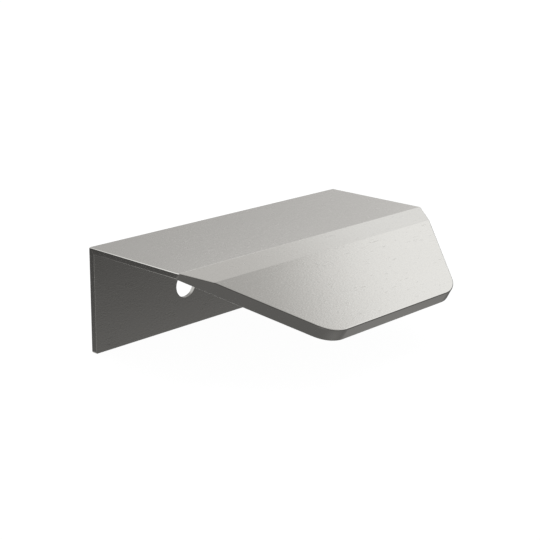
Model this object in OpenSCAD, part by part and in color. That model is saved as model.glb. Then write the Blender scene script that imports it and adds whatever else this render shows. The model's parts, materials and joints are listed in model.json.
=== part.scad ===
// Edge pull for a door or drawer front, made as one piece of brushed metal.
// The flange is screwed to the back of the panel, the top plate lies over the
// panel's edge, and the lip slopes down in front of it for the fingers.
// Millimetres. +X runs along the panel's edge, -Y points to the front, +Z is up.
// The origin is midway between the two screw holes, on the flange's panel face.

/* [Length] */
// Length along the panel's edge
length = 60; // [45:1:200]

/* [Panel] */
// Thickness of the panel that the handle hooks over
panel_t = 18; // [15:0.5:30]
// Room left between the panel's front face and the lip
panel_gap = 0.9; // [0.3:0.1:3]

/* [Top plate] */
// Thickness of the plate that lies on the panel's edge
plate_t = 1.0; // [0.8:0.1:2]

/* [Flange] */
// Thickness of the flange behind the panel
flange_t = 1.2; // [1:0.1:3]
// How far the flange reaches down from the panel's edge
flange_h = 16.7; // [14:0.1:40]

/* [Screw holes] */
// Distance between the centres of the two holes
hole_spacing = 20; // [14:1:32]
// How far the hole centres lie below the panel's edge
hole_drop = 9.3; // [6:0.1:10.5]
// Diameter of each hole
hole_d = 4.5; // [3.5:0.1:5]
// Diameter of the countersink where it opens on the back of the flange
sink_d = 5.5; // [5.2:0.1:6]

/* [Lip] */
// Length of the narrow facet between the top plate and the slope
facet_l = 4.6; // [3:0.1:6]
// Angle of the facet below the level
facet_angle = 16; // [12:0.5:20]
// Length of the slope that the fingers pull on
slope_l = 15.5; // [12:0.1:30]
// Angle of the slope below the level
slope_angle = 27.2; // [24:0.1:40]
// Thickness of the lip, square to the slope
lip_t = 2.15; // [1.9:0.05:3]
// Angle at which each side of the lip draws in
side_angle = 35.5; // [15:0.5:38]
// Radius of the lip's two front corners
corner_r = 5.8; // [2:0.1:6.5]

/* [Edges] */
// Radius of the long edges of the flange
edge_r = 0.2; // [0.1:0.05:0.4]

/* [Hidden] */
metal = [0.72, 0.72, 0.70];
hole_fn = 64;
corner_fn = 96;
// How far cutting shapes run past what they cut
over = 2;

// Heights of the panel's edge, the plate's top and the flange's bottom edge
edge_z = hole_drop;
top_z = edge_z + plate_t;
bottom_z = edge_z - flange_h;

// Directions in the section, as [y, z]: down the facet, down the slope, and
// square to the slope into the metal
facet_dir = [-cos(facet_angle), -sin(facet_angle)];
slope_dir = [-cos(slope_angle), -sin(slope_angle)];
inward = [sin(slope_angle), -cos(slope_angle)];

// Crease on the underside, where the plate's flat face meets the lip's
under_crease = [-(panel_t + panel_gap), edge_z];
// Creases on the top, set so that the lip has its thickness above that crease
top_crease_y = (inward * under_crease - facet_l * (inward * facet_dir) - lip_t
    - inward[1] * top_z) / inward[0];
top_crease = [top_crease_y, top_z];
facet_end = top_crease + facet_l * facet_dir;
slope_end = facet_end + slope_l * slope_dir;

// The lip's outline, in the plane of the slope: x across and s down the slope
// from the top crease
taper = tan(side_angle);
lip_s = (slope_end - top_crease) * slope_dir;
lip_half_w = length / 2 - taper * lip_s;

// Cuts one corner round: p is the corner, a and b run away from it along its edges
module corner_cut(p, a, b, r) {
    half = acos(a * b) / 2;
    reach = r / tan(half);
    centre = p + (a + b) / norm(a + b) * r / sin(half);
    difference() {
        polygon([p + (p - centre), p + a * reach, centre, p + b * reach]);
        translate(centre) circle(r = r, $fn = corner_fn);
    }
}

// The section: flange, top plate, facet and slope, with the lip left long
module section() {
    lip_top = slope_end + over * slope_dir;
    difference() {
        polygon([
            [flange_t, bottom_z], [flange_t, top_z], top_crease, facet_end,
            lip_top, lip_top + lip_t * inward,
            under_crease, [0, edge_z], [0, bottom_z]
        ]);
        corner_cut([flange_t, top_z], [-1, 0], [0, -1], edge_r);
        corner_cut([flange_t, bottom_z], [-1, 0], [0, 1], edge_r);
        corner_cut([0, bottom_z], [1, 0], [0, 1], edge_r);
    }
}

// The shape that is left when the sides are milled square to the slope: full
// width behind the top crease, then drawing in to the rounded front corners
module lip_outline() {
    wide = length / 2 + over;
    start = -over / taper;
    back = 2 * (panel_t + flange_h);
    side = [sin(side_angle), -cos(side_angle)];
    difference() {
        polygon([
            [-wide, -back], [wide, -back], [wide, start],
            [lip_half_w, lip_s], [-lip_half_w, lip_s], [-wide, start]
        ]);
        corner_cut([lip_half_w, lip_s], side, [-1, 0], corner_r);
        corner_cut([-lip_half_w, lip_s], [-side[0], side[1]], [1, 0], corner_r);
    }
}

// One screw hole through the flange, with its countersink on the back
module screw_hole() {
    sink = (sink_d - hole_d) / 2;
    rotate([-90, 0, 0]) {
        translate([0, 0, -over]) cylinder(d = hole_d, h = flange_t + 2 * over, $fn = hole_fn);
        translate([0, 0, flange_t - sink])
            cylinder(d1 = hole_d, d2 = hole_d + 2 * (sink + over), h = sink + over, $fn = hole_fn);
    }
}

module handle() {
    depth = 2 * (panel_t + slope_l + flange_h);
    color(metal) difference() {
        intersection() {
            rotate([90, 0, 90]) linear_extrude(length, center = true) section();
            translate([0, top_crease[0], top_crease[1]]) rotate([180 + slope_angle, 0, 0])
                linear_extrude(2 * depth, center = true) lip_outline();
        }
        for (side = [-1, 1]) translate([side * hole_spacing / 2, 0, 0]) screw_hole();
    }
}

handle();
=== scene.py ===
"""The look of a one-piece edge pull handle in brushed metal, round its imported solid.

Metres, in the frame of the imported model: +X along the panel's edge, -Y to the front, +Z up,
with the origin midway between the screw holes on the flange's panel face.
"""

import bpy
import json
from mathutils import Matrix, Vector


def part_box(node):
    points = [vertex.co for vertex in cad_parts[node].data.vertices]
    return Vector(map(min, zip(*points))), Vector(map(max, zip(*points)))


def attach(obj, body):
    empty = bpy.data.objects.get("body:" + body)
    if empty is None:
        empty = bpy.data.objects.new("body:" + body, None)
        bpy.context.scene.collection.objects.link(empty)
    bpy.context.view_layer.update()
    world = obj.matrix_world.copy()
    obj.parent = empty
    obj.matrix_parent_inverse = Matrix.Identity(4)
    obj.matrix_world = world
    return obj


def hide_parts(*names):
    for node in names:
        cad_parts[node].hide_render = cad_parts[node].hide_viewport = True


bl_info = {
    "name": "Edge Pull Handle",
    "version": (1, 0, 0),
    "blender": (4, 5, 0),
    "location": "View3D > Sidebar > Handle",
    "description": "Builds a brushed metal edge pull handle and a pale studio round it",
    "category": "Object",
}

import json
from math import cos, pi, radians, sin, tan

import bmesh
import bpy
import numpy as np
from bpy.props import FloatProperty, FloatVectorProperty, PointerProperty
from mathutils import Matrix, Vector

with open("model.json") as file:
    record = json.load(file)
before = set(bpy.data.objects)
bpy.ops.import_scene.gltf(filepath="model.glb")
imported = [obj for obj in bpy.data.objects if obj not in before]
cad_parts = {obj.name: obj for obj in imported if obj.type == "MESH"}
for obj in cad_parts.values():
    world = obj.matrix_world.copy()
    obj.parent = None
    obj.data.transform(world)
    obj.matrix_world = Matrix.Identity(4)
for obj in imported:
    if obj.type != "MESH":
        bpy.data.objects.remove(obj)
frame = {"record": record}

NODE = "handle"
BODY = "root"
MM = 0.001
SHARP_FROM = radians(25)
LOW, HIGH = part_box(NODE)
MOUNTS = {mount["name"]: mount for mount in frame["record"]["mounts"]}
SCREWS = MOUNTS["screws"]["dims"]
# The flange's two lower corners are rounded this many times as much as its edges
FOOT_ROUND = 1.25


def length_prop(name, description, default):
    """A length in metres."""
    return FloatProperty(name=name, description=description, default=default, min=0.0,
                         precision=5, subtype="DISTANCE", unit="LENGTH")


def angle_prop(name, description, degrees):
    """An angle, given in degrees and kept in radians."""
    return FloatProperty(name=name, description=description, default=radians(degrees),
                         subtype="ANGLE", unit="ROTATION")


def share_prop(name, description, default):
    """A plain number from 0 to 1."""
    return FloatProperty(name=name, description=description, default=default, min=0.0, max=1.0,
                         precision=4)


def colour_prop(name, description, default):
    """A linear colour."""
    return FloatVectorProperty(name=name, description=description, default=default, size=3,
                               min=0.0, max=1.0, subtype="COLOR")


class HandleSizes(bpy.types.PropertyGroup):
    """Sizes of the handle's section, lip and holes"""
    length: length_prop("Length", "Length along the panel's edge", HIGH[0] - LOW[0])
    top: length_prop("Top", "Height of the plate's top above the screws", HIGH[2])
    bottom: length_prop("Flange drop", "How far the flange reaches below the screws", -LOW[2])
    flange: length_prop("Flange", "Thickness of the flange behind the panel", HIGH[1])
    edge: length_prop("Panel edge", "Height of the panel's edge above the screws",
                      MOUNTS["panel_edge"]["pos_m"][2])
    slot: length_prop("Slot", "Depth of the slot that the panel sits in", 18.8 * MM)
    facet: length_prop("Facet", "Length of the narrow facet before the slope", 4.42 * MM)
    facet_angle: angle_prop("Facet angle", "Angle of the facet below the level", 15.1)
    slope: length_prop("Slope", "Length of the slope that the fingers pull on", 15.81 * MM)
    slope_angle: angle_prop("Slope angle", "Angle of the slope below the level", 27.15)
    lip: length_prop("Lip", "Thickness of the lip, square to the slope", 2.16 * MM)
    side_angle: angle_prop("Side angle", "Angle at which each side of the lip draws in", 35.5)
    corner: length_prop("Corner radius", "Radius of the lip's front corners", 5.8 * MM)
    hole: length_prop("Hole radius", "Radius of each screw hole", SCREWS["hole_r_mm"] * MM)
    spacing: length_prop("Hole spacing", "Distance between the hole centres",
                         SCREWS["spacing_x_mm"] * MM)
    sink: length_prop("Countersink radius", "Radius of the countersink on the back", 2.75 * MM)
    round: length_prop("Edge radius", "Radius of the edges of the outer skin", 0.2 * MM)
    crisp: length_prop("Inner edge radius", "Radius of the edges of the skin that faces the panel",
                       0.09 * MM)
    rim: length_prop("Hole rim radius", "Radius of the edges round the holes", 0.03 * MM)
    inside: length_prop("Inner corner radius", "Radius of the corner that the panel's edge meets",
                        0.05 * MM)
    cell: length_prop("Hole cell", "Half width of the patch of mesh round each hole", 3.8 * MM)
    crease: length_prop("Crease radius", "Radius of the two creases on the top", 0.8 * MM)
    ease: length_prop("Taper radius", "Radius where each side starts to draw in", 0.4 * MM)


class FinishSettings(bpy.types.PropertyGroup):
    """Finish of the brushed metal"""
    colour: colour_prop("Metal colour", "Colour of the metal seen straight on",
                        (0.80, 0.79, 0.757))
    roughness: share_prop("Roughness", "Blur of the reflections", 0.13)
    scratch: share_prop("Hairline roughness", "Extra blur in the sparse hairlines", 0.25)


class StudioSettings(bpy.types.PropertyGroup):
    """Floor, background and light"""
    white: colour_prop("Background", "Colour of the floor and background", (1.0, 1.0, 1.0))
    floor_lift: share_prop("Floor lift", "Share of the floor's white that shadow can't take", 0.97)
    floor_matt: share_prop("Floor matt", "Share of white in the part that takes shadow", 0.11)
    daylight: share_prop("Daylight", "Strength of the light from all round", 0.35)
    lamp_power: FloatProperty(name="Lamp", description="Power of the soft lamp overhead",
                              default=10.0, min=0.0, subtype="POWER", unit="POWER")


def unit(angle):
    """Direction in the section, as [y, z], that many radians below the level and forwards."""
    return np.array([-cos(angle), -sin(angle)])


def fillet(corner, back, ahead, radius, count):
    """Points on the arc of that radius that rounds a corner between two unit directions,
    from the tangent point on the first side to the one on the second."""
    half = np.arccos(np.clip(back @ ahead, -1, 1)) / 2
    inside = (back + ahead) / np.linalg.norm(back + ahead)
    across = (ahead - back) / np.linalg.norm(ahead - back)
    turn = np.linspace(half - pi / 2, pi / 2 - half, count)
    centre = corner + inside * radius / np.sin(half)
    return centre + radius * (np.outer(np.sin(turn), across) - np.outer(np.cos(turn), inside))


def section(size, turns=9):
    """The bent strip's section as two chains of [y, z] with matching rows: the outer one runs
    up the back, along the top and down the slope, and the inner one faces the panel. The third
    array is each row's distance down the slope from the first crease."""
    facet, slope = unit(size.facet_angle), unit(size.slope_angle)
    inward = np.array([-slope[1], slope[0]])
    under = np.array([-size.slot, size.edge])
    # The crease lies where the lip is as thick as it should be, square to the slope
    crease = np.array([(inward @ under - size.facet * (inward @ facet) - size.lip
                        - inward[1] * size.top) / inward[0], size.top])
    second = crease + size.facet * facet
    end = second + size.slope * slope
    down, level = np.array([0.0, -1.0]), np.array([-1.0, 0.0])
    lip_top = np.vstack([[[-size.slot, size.top]],
                         fillet(crease, -level, facet, size.crease, turns),
                         fillet(second, -facet, slope, size.crease, turns), [end]])
    s = (lip_top - crease) @ slope
    # The underside is a straight line from the slot to the end, which is square to the slope
    depth = size.lip + (second - crease) @ inward
    knots = np.array([s[0], 0.0, s[-1]])
    below = np.array([under, crease + depth * inward, end + size.lip * inward])
    lip_under = np.stack([np.interp(s, knots, below[:, 0]), np.interp(s, knots, below[:, 1])], 1)
    rows = np.array([-size.bottom, -size.cell, size.cell])
    outer = np.vstack([np.stack([np.full(3, size.flange), rows], 1),
                       fillet(np.array([size.flange, size.top]), down, level, size.round, turns),
                       lip_top])
    inner = np.vstack([np.stack([np.zeros(3), rows], 1),
                       fillet(np.array([0.0, size.edge]), down, level, size.inside, turns),
                       lip_under])
    return outer, inner, np.concatenate([np.full(3 + turns, s[0]), s])


def outline(size, u, s, foot_turns=6, arc_turns=32):
    """Half of the strip's outline laid flat, from the foot of the flange to the front edge, as
    rows of [x, u, across, along]: the place, u being the distance along the strip, and the
    outward direction. It is a round corner, a straight side, a small arc into a side that
    draws in at a constant rate, and the arc of the lip's corner into the front edge."""
    half, lean = size.length / 2, size.side_angle
    soft = FOOT_ROUND * size.round
    turn = np.linspace(0, pi / 2, foot_turns)
    foot = np.stack([half - soft * (1 - np.sin(turn)), soft * (1 - np.cos(turn)),
                     np.sin(turn), -np.cos(turn)], 1)
    start = -size.ease * tan(lean / 2)
    turn = np.arcsin(np.clip((s - start) / size.ease, 0, sin(lean)))
    past = np.maximum(s - start - size.ease * sin(lean), 0)
    x = half - size.ease * (1 - np.cos(turn)) - tan(lean) * past
    sides = np.stack([x, u, np.cos(turn), np.sin(turn)], 1)[1:-1]
    corner = np.array([half - tan(lean) * s[-1], u[-1]])
    arc = fillet(corner, np.array([sin(lean), -cos(lean)]), np.array([-1.0, 0.0]), size.corner,
                 arc_turns)
    turn = np.linspace(lean, pi / 2, arc_turns)
    return np.vstack([foot, sides, np.stack([*arc.T, np.cos(turn), np.sin(turn)], 1)])


def strip_shell(size, edge_turns=5, hole_turns=64):
    """Vertices and faces of the whole handle, and marks on the vertices: skin is 1 on the two
    wide faces, bore is 1 on the walls of the holes. A profile, a wall with a quarter round at
    both edges, is carried along the outline, and rows from side to side fill the two skins;
    round each hole the rows make way for a square cell, and a turned wall joins the skins."""
    outer, inner, s = section(size)
    u = np.concatenate([[0], np.cumsum(np.linalg.norm(np.diff(outer, axis=0), axis=1))])
    half = outline(size, u, s)
    rows = len(half)
    loop = np.vstack([half, half[::-1]])
    sign = np.repeat([-1.0, 1.0], rows)
    turn = np.linspace(0, pi / 2, edge_turns)

    def rim(near, far, radius):
        """Points of one skin's rounded edge, as a grid of outline by quarter round."""
        inset, sunk = radius * (1 - np.sin(turn)), radius * (1 - np.cos(turn))
        flat = loop[:, None, 1] - inset * loop[:, None, 3]
        here = np.stack([np.interp(flat, u, near[:, 0]), np.interp(flat, u, near[:, 1])], 2)
        there = np.stack([np.interp(flat, u, far[:, 0]), np.interp(flat, u, far[:, 1])], 2)
        through = (there - here) / np.linalg.norm(there - here, axis=2, keepdims=True)
        yz = here + sunk[None, :, None] * through
        x = sign[:, None] * (loop[:, None, 0] - inset * loop[:, None, 2])
        return np.concatenate([x[..., None], yz], 2)

    grid = np.concatenate([rim(outer, inner, size.round),
                           rim(inner, outer, size.crisp)[:, ::-1]], 1)
    around, deep = grid.shape[:2]
    index = np.arange(around * deep).reshape(around, deep)
    after = np.roll(index, -1, axis=0)
    edge = np.stack([index[:, :-1], after[:, :-1], after[:, 1:], index[:, 1:]], -1)
    faces = edge.reshape(-1, 4).tolist()
    points = [grid.reshape(-1, 3)]
    count = around * deep
    # The screw holes lie in the row of faces between the cell's lower and upper edge
    cell_row = int(np.argmin(np.abs(half[:, 1] - u[1])))
    centres = np.array([-0.5, 0.5]) * size.spacing
    edges = (centres[:, None] + np.array([-1, 1]) * size.cell).ravel()
    angle = np.arange(hole_turns) * 2 * pi / hole_turns
    bend = np.linspace(0, pi / 2, edge_turns)
    sink = size.sink - size.hole
    wall_y = np.concatenate([[size.flange, size.flange - sink],
                             size.rim * (1 - np.sin(bend))])
    wall_r = np.concatenate([[size.sink, size.hole],
                             size.hole + size.rim * (1 - np.cos(bend))])
    milled = np.zeros((around, deep))
    milled[:, 1:-1] = 1
    skins, bores = [], []
    for column, y in ((0, size.flange), (deep - 1, 0.0)):
        left, right = index[:rows, column], index[::-1, column][:rows]
        low = count + np.arange(4)
        high = low + 4
        points.append(np.array([[x, y, z] for z in (-size.cell, size.cell) for x in edges]))
        count += 8
        plain = np.stack([left[:-1], right[:-1], right[1:], left[1:]], 1)
        plain = np.delete(plain, [cell_row - 1, cell_row, cell_row + 1], 0)
        faces += plain.tolist()
        a, b, c, d = left[cell_row - 1:cell_row + 3]
        e, f, g, h = right[cell_row - 1:cell_row + 3]
        faces += [[a, e, f, *low[::-1], b], [b, low[0], high[0], c],
                  [low[1], low[2], high[2], high[1]], [low[3], f, g, high[3]],
                  [c, *high, g, h, d]]
        skins.append((low, high))
    for number, x in enumerate(centres):
        ring = np.stack([x + np.outer(wall_r, np.cos(angle)),
                         np.repeat(wall_y[:, None], hole_turns, 1),
                         np.outer(wall_r, np.sin(angle))], 2)
        place = count + np.arange(ring[..., 0].size).reshape(ring.shape[:2])
        points.append(ring.reshape(-1, 3))
        bores.append(place[1:-1])
        count += place.size
        nearby = np.roll(place, -1, axis=1)
        wall = np.stack([place[:-1], nearby[:-1], nearby[1:], place[1:]], -1)
        faces += wall.reshape(-1, 4).tolist()
        for (low, high), circle in zip(skins, (place[0], place[-1])):
            corners = [high[2 * number + 1], high[2 * number], low[2 * number],
                       low[2 * number + 1]]
            eighth = hole_turns // 8
            for quarter in range(4):
                span = (np.arange(2 * eighth + 1) + eighth * (2 * quarter + 1)) % hole_turns
                faces.append([corners[quarter], corners[(quarter + 1) % 4],
                              *circle[span][::-1]])
    points = np.vstack(points)
    skin, bore = np.ones(len(points)), np.zeros(len(points))
    skin[:milled.size] -= milled.ravel()
    for rings in bores:
        skin[rings], bore[rings] = 0, 1
    return points, faces, {"skin": skin, "bore": bore}


def mesh_object(name, points, faces):
    """A mesh object at the origin from arrays of vertices and faces, with faces outwards."""
    mesh = bpy.data.meshes.new(name)
    mesh.from_pydata(points, [], faces)
    if mesh.validate():
        raise RuntimeError(f"The mesh of {name} has faults")
    solid = bmesh.new()
    solid.from_mesh(mesh)
    bmesh.ops.recalc_face_normals(solid, faces=solid.faces)
    solid.to_mesh(mesh)
    solid.free()
    piece = bpy.data.objects.new(name, mesh)
    bpy.context.scene.collection.objects.link(piece)
    return piece


class Value:
    """A number socket of a shader. Arithmetic on it adds Math nodes to the tree."""

    def __init__(self, shader, socket):
        self.shader = shader
        self.socket = socket

    def math(self, operation, *others):
        return self.shader.add("ShaderNodeMath", {"operation": operation}, self, *others)

    def __add__(self, other):
        return self.math("ADD", other)

    __radd__ = __add__

    def __sub__(self, other):
        return self.math("SUBTRACT", other)

    def __rsub__(self, other):
        return self.shader.add("ShaderNodeMath", {"operation": "SUBTRACT"}, other, self)

    def __mul__(self, other):
        return self.math("MULTIPLY", other)

    __rmul__ = __mul__


class Shader:
    """A node tree being filled. add() makes one node from its type, its settings and the
    values or links of its sockets, in order or by name, and gives its first output or the one
    that out names."""

    def __init__(self, owner):
        owner.use_nodes = True
        self.tree = owner.node_tree
        self.tree.nodes.clear()

    def add(self, kind, settings=None, *values, out=0, **named):
        node = self.tree.nodes.new(kind)
        for key, value in (settings or {}).items():
            setattr(node, key, value)
        inputs = [socket for socket in node.inputs if socket.enabled]
        names = {socket.name: socket for socket in reversed(inputs)}
        for socket, value in zip(inputs, values):
            self.feed(socket, value)
        for name, value in named.items():
            self.feed(names[name.replace("_", " ")], value)
        outputs = [socket for socket in node.outputs if socket.enabled]
        if isinstance(out, str):
            outputs, out = [socket for socket in outputs if socket.name == out], 0
        return Value(self, outputs[out]) if outputs else node

    def feed(self, socket, value):
        if isinstance(value, Value):
            self.tree.links.new(value.socket, socket)
        elif value is not None:
            socket.default_value = value


# Cells of the brushing's noise: length along X and width in metres, offset and detail
GRAIN = (0.5 * MM, 0.13 * MM, 3.1, 2.0)
HAIR = (1.9 * MM, 0.17 * MM, 17.7, 1.0)
CLOUD = (30.0 * MM, 6.0 * MM, 5.3, 2.0)
NOISE_ROUGHNESS = 0.55
# A hairline starts at the first of these heights of its noise and is full at the second
HAIR_FROM, HAIR_FULL = 0.68, 0.78
# Depth of the grain in metres, and the hairlines' share of it
RELIEF, HAIR_RELIEF = 8.5e-6, 0.3
# How much each darkens the metal, the holes' share being painted shade on their walls, and what
# the milled walls and the holes add to its blur
GRAIN_SHADE, HAIR_SHADE, CLOUD_SHADE, HOLE_PAINTED_SHADE = 0.12, 0.08, 0.04, 0.34
MILLED_BLUR, BORE_BLUR = 0.04, 0.15


def brushed_metal(finish):
    """Brushed metal. Fine grain drawn out along X tilts the two skins and shades them a little,
    and sparse short hairlines are rougher than the rest. The milled walls stay plainer, and the
    walls of the holes are rougher and painted darker, a painted shade in the holes."""
    material = bpy.data.materials.new("brushed_metal")
    shader = Shader(material)
    place = shader.add("ShaderNodeTexCoord", out="Object")
    skin = shader.add("ShaderNodeAttribute", {"attribute_name": "skin"}, out="Fac")
    bore = shader.add("ShaderNodeAttribute", {"attribute_name": "bore"}, out="Fac")

    def drawn_out(length, width, offset, detail):
        """Noise in cells of that length along X and that width, in metres."""
        cells = shader.add("ShaderNodeMapping", {"vector_type": "POINT"}, place,
                           (offset, offset, offset), Scale=(1 / length, 1 / width, 1 / width))
        return shader.add("ShaderNodeTexNoise", {"noise_dimensions": "3D"}, Vector=cells,
                          Scale=1.0, Detail=detail, Roughness=NOISE_ROUGHNESS)

    grain, hair, cloud = drawn_out(*GRAIN), drawn_out(*HAIR), drawn_out(*CLOUD)
    tick = shader.add("ShaderNodeMapRange", {"interpolation_type": "SMOOTHSTEP"}, hair,
                      HAIR_FROM, HAIR_FULL, 0.0, 1.0) * skin
    height = skin * (grain + HAIR_RELIEF * hair)
    bump = shader.add("ShaderNodeBump", {}, Height=height, Strength=1.0, Distance=RELIEF)
    shade = 1 + skin * (GRAIN_SHADE * (grain - 0.5) - HAIR_SHADE * tick)
    # The walls of the holes are painted darker here: painted shade in the holes, where little
    # light reaches
    shade = shade + CLOUD_SHADE * (cloud - 0.5) - HOLE_PAINTED_SHADE * bore
    grey = shader.add("ShaderNodeCombineColor", {}, shade, shade, shade)
    tint = shader.add("ShaderNodeMix", {"data_type": "RGBA", "blend_type": "MULTIPLY"}, 1.0,
                      out="Result", A=(*finish.colour, 1.0), B=grey)
    blur = finish.roughness + finish.scratch * tick
    blur = blur + MILLED_BLUR * (1 - skin) + BORE_BLUR * bore
    surface = shader.add("ShaderNodeBsdfPrincipled", {}, Metallic=1.0, Roughness=blur,
                         Normal=bump, Base_Color=tint)
    shader.add("ShaderNodeOutputMaterial", {}, surface)
    return material


class HANDLE_OT_build(bpy.types.Operator):
    """Builds the handle with rounded edges and its brushed finish"""
    bl_idname = "handle.build"
    bl_label = "Build handle"

    def execute(self, context):
        points, faces, marks = strip_shell(context.scene.handle_sizes)
        piece = mesh_object("edge_pull", points, faces)
        for name, values in marks.items():
            piece.data.attributes.new(name, "FLOAT", "POINT").data.foreach_set("value", values)
        piece.data.shade_smooth()
        piece.data.set_sharp_from_angle(angle=SHARP_FROM)
        normals = piece.modifiers.new("flat_faces", "WEIGHTED_NORMAL")
        normals.keep_sharp = True
        piece.data.materials.append(brushed_metal(context.scene.handle_finish))
        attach(piece, BODY)
        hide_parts(NODE)
        return {"FINISHED"}


# The picture's viewpoint, found from the object's straight edges
VIEW_TARGET = np.array([-3.493, -13.440, 4.064]) * MM
VIEW_AZIMUTH = -47.536
VIEW_ELEVATION = 16.443
VIEW_ROLL = 0.761
VIEW_DISTANCE = 208.97 * MM
VIEW_LENS = 83.5
FLOOR_GAP = 0.1 * MM
FLOOR_SIZE = 4.0
SENSOR = 36.0
NEAR, FAR = 0.01, 20.0
LAMP_SIZE = 1.6
LAMP_PLACE = (0.5, 0.2, 1.4)
CARD_RADIUS = 3.0
CARD_COLUMNS, CARD_ROWS = 360, 180
NEAR_POLE = 89.9
CARD_COLOUR = np.array([1.0, 0.985, 0.975])
# The cards turn from their colour to white between these two brightnesses
PALE_FROM, PALE_FULL = 0.6, 0.85
# Where they would be brighter than this they are cut away
OPEN_FROM = 0.97


def rise(value, start, width):
    """A smooth step from 0 to 1 round a start."""
    return 1 / (1 + np.exp(-(value - start) / width))


# Brightness of the dark card, and its changes below the level, at the bottom and in front
DARK, DARK_BELOW, DARK_BOTTOM, DARK_FRONT = 0.061, 0.087, 0.024, 0.015
# Brightness of the grey canopy, and its changes beside the window and near the level
CANOPY, CANOPY_RIGHT, CANOPY_LOW = 0.456, 0.14, 0.02
# Brightness of the window, what it gains on the right, and its upper edge as azimuths and
# elevations in degrees
WINDOW, WINDOW_RIGHT = 0.86, 0.11
WINDOW_TOP = (50, 62, 79.3, 95), (28, 33.8, 42.3, 44.5)
# How high the dark card stands, in degrees: on the right, where the front starts, and what it
# gains further on
RIGHT_LIFT, CORNER_LIFT, FRONT_LIFT = 16, 15, 49
# Soft patches on the cards: azimuth, elevation, their half widths, in degrees, and brightness
PATCHES = ((95, -40, 14, 8, 0.12), (150, -60, 45, 14, 0.05), (152, 36, 20, 16, 0.5),
           (-145, -18, 14, 7, 0.35), (24, -55, 18, 11, 1.2), (130, -20, 9, 8, 0.05),
           (-72, -33, 14, 12, 0.06), (50, 24, 7, 3.5, 1.0), (57, 36, 8, 5, -0.025),
           (79, 47, 14, 7, -0.035), (-20, -38, 12, 9, 1.1), (-15, -20, 25, 4, -0.06))


def card_glow(azimuth, elevation):
    """Brightness of the studio's cards in a direction, by azimuth, which turns from +Y to +X,
    and elevation, both in degrees. A grey canopy has a window on the right and a pale card on
    the left, and a dark card lies below, rises a little on the right and stands high in front.
    Every edge is a soft step at an angle, so many degrees wide."""
    low = DARK + DARK_BELOW * rise(-elevation, 18.3, 1.5) - DARK_BOTTOM * rise(-elevation, 34, 3)
    high = CANOPY + CANOPY_RIGHT * rise(azimuth, 49, 2.5) * rise(70 - azimuth, 0, 3)
    high = high - CANOPY_LOW * rise(15 - elevation, 0, 1)
    # The window lies under its slanting upper edge
    window = rise(azimuth, 57, 1.2) * rise(np.interp(azimuth, *WINDOW_TOP) - elevation, 0, 0.9)
    high = high + (WINDOW + WINDOW_RIGHT * rise(azimuth, 72, 1.5) - high) * window
    # The pale card on the left is white
    left = rise(-azimuth, 8, 2) * rise(azimuth, -80, 3) * rise(60 - elevation, 0, 3)
    high = high + (1 - high) * left
    # The dark card's upper edge, with the azimuth from 0 to 360 so that the front is whole
    around = azimuth % 360
    right = rise(around, 62, 2) * rise(112 - around, 0, 4)
    front = rise(around, 112, 4) * rise(238 - around, 0, 4)
    horizon = RIGHT_LIFT * right + (CORNER_LIFT + FRONT_LIFT * rise(around, 132, 4)) * front
    low = low + DARK_FRONT * front * rise(elevation, 5, 3)
    glow = low + (high - low) * rise(elevation - horizon, 0, 1 + 3 * front)
    for turn, lift, wide, tall, amount in PATCHES:
        away = (azimuth - turn + 180) % 360 - 180
        glow = glow + amount * np.exp(-(away / wide) ** 2 - ((elevation - lift) / tall) ** 2)
    return glow


def cards():
    """The studio's grey cards, which only reflections see: a ball over azimuth and elevation
    that keeps its light in the attribute glow, slightly warm where it is grey, and is cut away
    where it would be white, so that the background shows there."""
    azimuth, elevation = np.meshgrid(np.linspace(-180, 180, CARD_COLUMNS + 1),
                                     np.linspace(-NEAR_POLE, NEAR_POLE, CARD_ROWS + 1))
    bright = card_glow(azimuth, elevation)
    a, e = np.radians(azimuth), np.radians(elevation)
    points = CARD_RADIUS * np.stack([np.sin(a) * np.cos(e), np.cos(a) * np.cos(e), np.sin(e)], 2)
    index = np.arange(azimuth.size).reshape(azimuth.shape)
    quads = np.stack([index[:-1, :-1], index[1:, :-1], index[1:, 1:], index[:-1, 1:]], -1)
    quads = quads.reshape(-1, 4)
    quads = quads[bright.ravel()[quads].min(axis=1) < OPEN_FROM]
    mesh = bpy.data.meshes.new("grey_cards")
    mesh.from_pydata(points.reshape(-1, 3), [], quads.tolist())
    pale = np.clip((bright.reshape(-1, 1) - PALE_FROM) / (PALE_FULL - PALE_FROM), 0, 1)
    light = np.ones((bright.size, 4))
    light[:, :3] = bright.reshape(-1, 1) * (CARD_COLOUR + (1 - CARD_COLOUR) * pale)
    mesh.attributes.new("glow", "FLOAT_COLOR", "POINT").data.foreach_set("color", light.ravel())
    material = bpy.data.materials.new("grey_cards")
    shader = Shader(material)
    glow = shader.add("ShaderNodeAttribute", {"attribute_name": "glow"}, out="Color")
    shader.add("ShaderNodeOutputMaterial", {}, shader.add("ShaderNodeEmission", {}, glow, 1.0))
    mesh.materials.append(material)
    ball = bpy.data.objects.new("grey_cards", mesh)
    for kind in ("camera", "diffuse", "transmission", "volume_scatter", "shadow"):
        setattr(ball, "visible_" + kind, False)
    bpy.context.scene.collection.objects.link(ball)
    return ball


def seen_white(shader):
    """1 for rays that show the background: from the camera, by reflection or through glass."""
    eye, gloss, glass = (shader.add("ShaderNodeLightPath", out=name)
                         for name in ("Is Camera Ray", "Is Glossy Ray", "Is Transmission Ray"))
    return (eye + gloss).math("MAXIMUM", glass)


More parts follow.
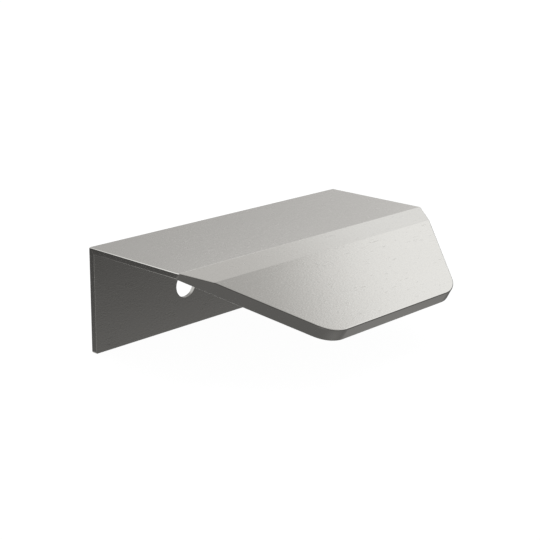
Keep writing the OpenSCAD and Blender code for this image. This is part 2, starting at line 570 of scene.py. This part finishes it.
def floor(studio):
    """A plain floor, just white to the eye, that keeps the object's shadow."""
    half = FLOOR_SIZE / 2
    points = np.array([[-half, -half, 0], [half, -half, 0], [half, half, 0], [-half, half, 0]])
    points[:, 2] = LOW[2] - FLOOR_GAP
    plane = mesh_object("floor", points, [[0, 1, 2, 3]])
    material = bpy.data.materials.new("floor")
    shader = Shader(material)
    matt = shader.add("ShaderNodeBsdfDiffuse", {},
                      (*(part * studio.floor_matt for part in studio.white), 1.0))
    lift = shader.add("ShaderNodeEmission", {}, (*studio.white, 1.0),
                      seen_white(shader) * studio.floor_lift)
    both = shader.add("ShaderNodeAddShader", {}, matt, lift)
    shader.add("ShaderNodeOutputMaterial", {}, both)
    plane.data.materials.append(material)
    plane.visible_glossy = False
    return plane


def background(studio):
    """White to the eye and in reflections, and a plain even light on everything else."""
    world = bpy.data.worlds.new("studio")
    shader = Shader(world)
    share = seen_white(shader)
    strength = share + (1 - share) * studio.daylight
    sky = shader.add("ShaderNodeBackground", {}, (*studio.white, 1.0), strength)
    shader.add("ShaderNodeOutputWorld", {}, sky)
    bpy.context.scene.world = world


def lamp(studio):
    """One wide soft lamp overhead."""
    data = bpy.data.lights.new("soft_lamp", "AREA")
    data.energy = studio.lamp_power
    data.shape = "RECTANGLE"
    data.size = data.size_y = LAMP_SIZE
    light = bpy.data.objects.new("soft_lamp", data)
    light.location = LAMP_PLACE
    light.rotation_euler = (-light.location).to_track_quat("-Z", "Y").to_euler()
    light.visible_glossy = False
    bpy.context.scene.collection.objects.link(light)


def camera():
    """The camera at the picture's viewpoint."""
    data = bpy.data.cameras.new("camera")
    data.lens = VIEW_LENS
    data.sensor_width = SENSOR
    data.clip_start, data.clip_end = NEAR, FAR
    eye = bpy.data.objects.new("camera", data)
    a, e = radians(VIEW_AZIMUTH), radians(VIEW_ELEVATION)
    back = Vector((sin(a) * cos(e), -cos(a) * cos(e), sin(e)))
    turn = (Matrix.Rotation(a, 4, "Z") @ Matrix.Rotation(pi / 2 - e, 4, "X")
            @ Matrix.Rotation(radians(VIEW_ROLL), 4, "Z"))
    eye.matrix_world = Matrix.Translation(Vector(VIEW_TARGET) + VIEW_DISTANCE * back) @ turn
    bpy.context.scene.collection.objects.link(eye)
    bpy.context.scene.camera = eye


class HANDLE_OT_stage(bpy.types.Operator):
    """Sets up the floor, background, light, reflections and camera"""
    bl_idname = "handle.stage"
    bl_label = "Set up studio"

    def execute(self, context):
        studio = context.scene.handle_studio
        floor(studio)
        cards()
        background(studio)
        lamp(studio)
        camera()
        context.scene.view_settings.view_transform = "Standard"
        return {"FINISHED"}


class HANDLE_PT_panel(bpy.types.Panel):
    """Sizes, finish and studio of the handle"""
    bl_label = "Edge pull handle"
    bl_idname = "HANDLE_PT_panel"
    bl_space_type = "VIEW_3D"
    bl_region_type = "UI"
    bl_category = "Handle"

    def draw(self, context):
        scene = context.scene
        for group in (scene.handle_sizes, scene.handle_finish, scene.handle_studio):
            box = self.layout.box()
            for name in group.__annotations__:
                box.prop(group, name)
        self.layout.operator(HANDLE_OT_build.bl_idname)
        self.layout.operator(HANDLE_OT_stage.bl_idname)


CLASSES = (HandleSizes, FinishSettings, StudioSettings, HANDLE_OT_build, HANDLE_OT_stage,
           HANDLE_PT_panel)


def register():
    for item in CLASSES:
        bpy.utils.register_class(item)
    bpy.types.Scene.handle_sizes = PointerProperty(type=HandleSizes)
    bpy.types.Scene.handle_finish = PointerProperty(type=FinishSettings)
    bpy.types.Scene.handle_studio = PointerProperty(type=StudioSettings)


def unregister():
    del bpy.types.Scene.handle_sizes
    del bpy.types.Scene.handle_finish
    del bpy.types.Scene.handle_studio
    for item in reversed(CLASSES):
        bpy.utils.unregister_class(item)


def main():
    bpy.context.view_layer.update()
    register()
    bpy.ops.handle.build()
    bpy.ops.handle.stage()


if __name__ == "__main__":
    main()
